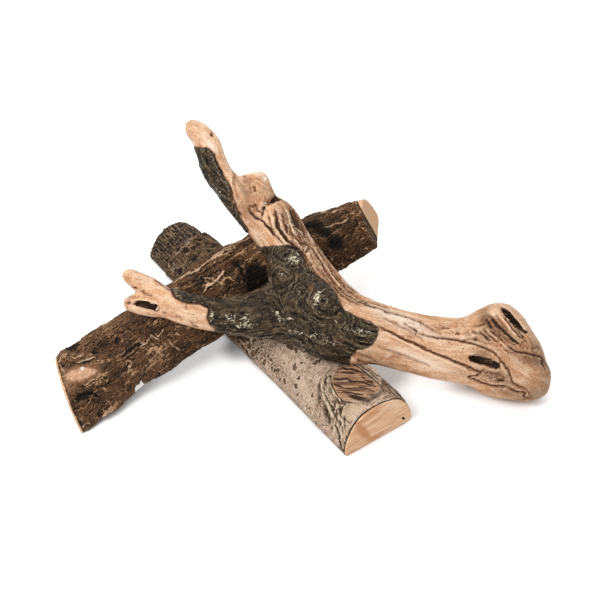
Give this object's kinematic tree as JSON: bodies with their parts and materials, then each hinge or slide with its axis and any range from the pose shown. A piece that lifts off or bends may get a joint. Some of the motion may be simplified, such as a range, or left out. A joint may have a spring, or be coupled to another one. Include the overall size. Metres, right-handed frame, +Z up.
{
  "type": "ceramic log set",
  "caption": "Cast ceramic hearth logs: a round bark log, a split bark log leaning over it and a knotted driftwood branch lying over both, keyed together by pins.",
  "frame": {"origin": "on the hearth, in the middle of the set's footprint", "axes": "+X to the right along the set's longest side, +Y to the back, +Z up"},
  "size_m": [0.4136, 0.262, 0.1626],
  "materials": {
    "round_log_bark": "matt hand-painted bark",
    "split_log_bark": "matt hand-painted bark",
    "driftwood": "hand-painted bare wood with a slight sheen",
    "rod_steel": "plain drawn rod",
    "pin_steel": "plain cut pin"
  },
  "bodies": {
    "round_log": {"round_log": "round_log_bark", "round_log_rod": "rod_steel", "split_log_pin": "pin_steel"},
    "split_log": {"split_log": "split_log_bark", "split_log_rod": "rod_steel", "branch_pin": "pin_steel"},
    "branch": {"driftwood_branch": "driftwood", "branch_trunk_rod": "rod_steel", "branch_side_rod": "rod_steel"}
  },
  "joints": [
    {"name": "split_log_lift", "type": "slide", "parent": "round_log", "child": "split_log", "axis": [0, 0, 1], "range_m": [0, 0.06]},
    {"name": "branch_lift", "type": "slide", "parent": "split_log", "child": "branch", "axis": [0, 0, 1], "range_m": [0, 0.1]}
  ]
}
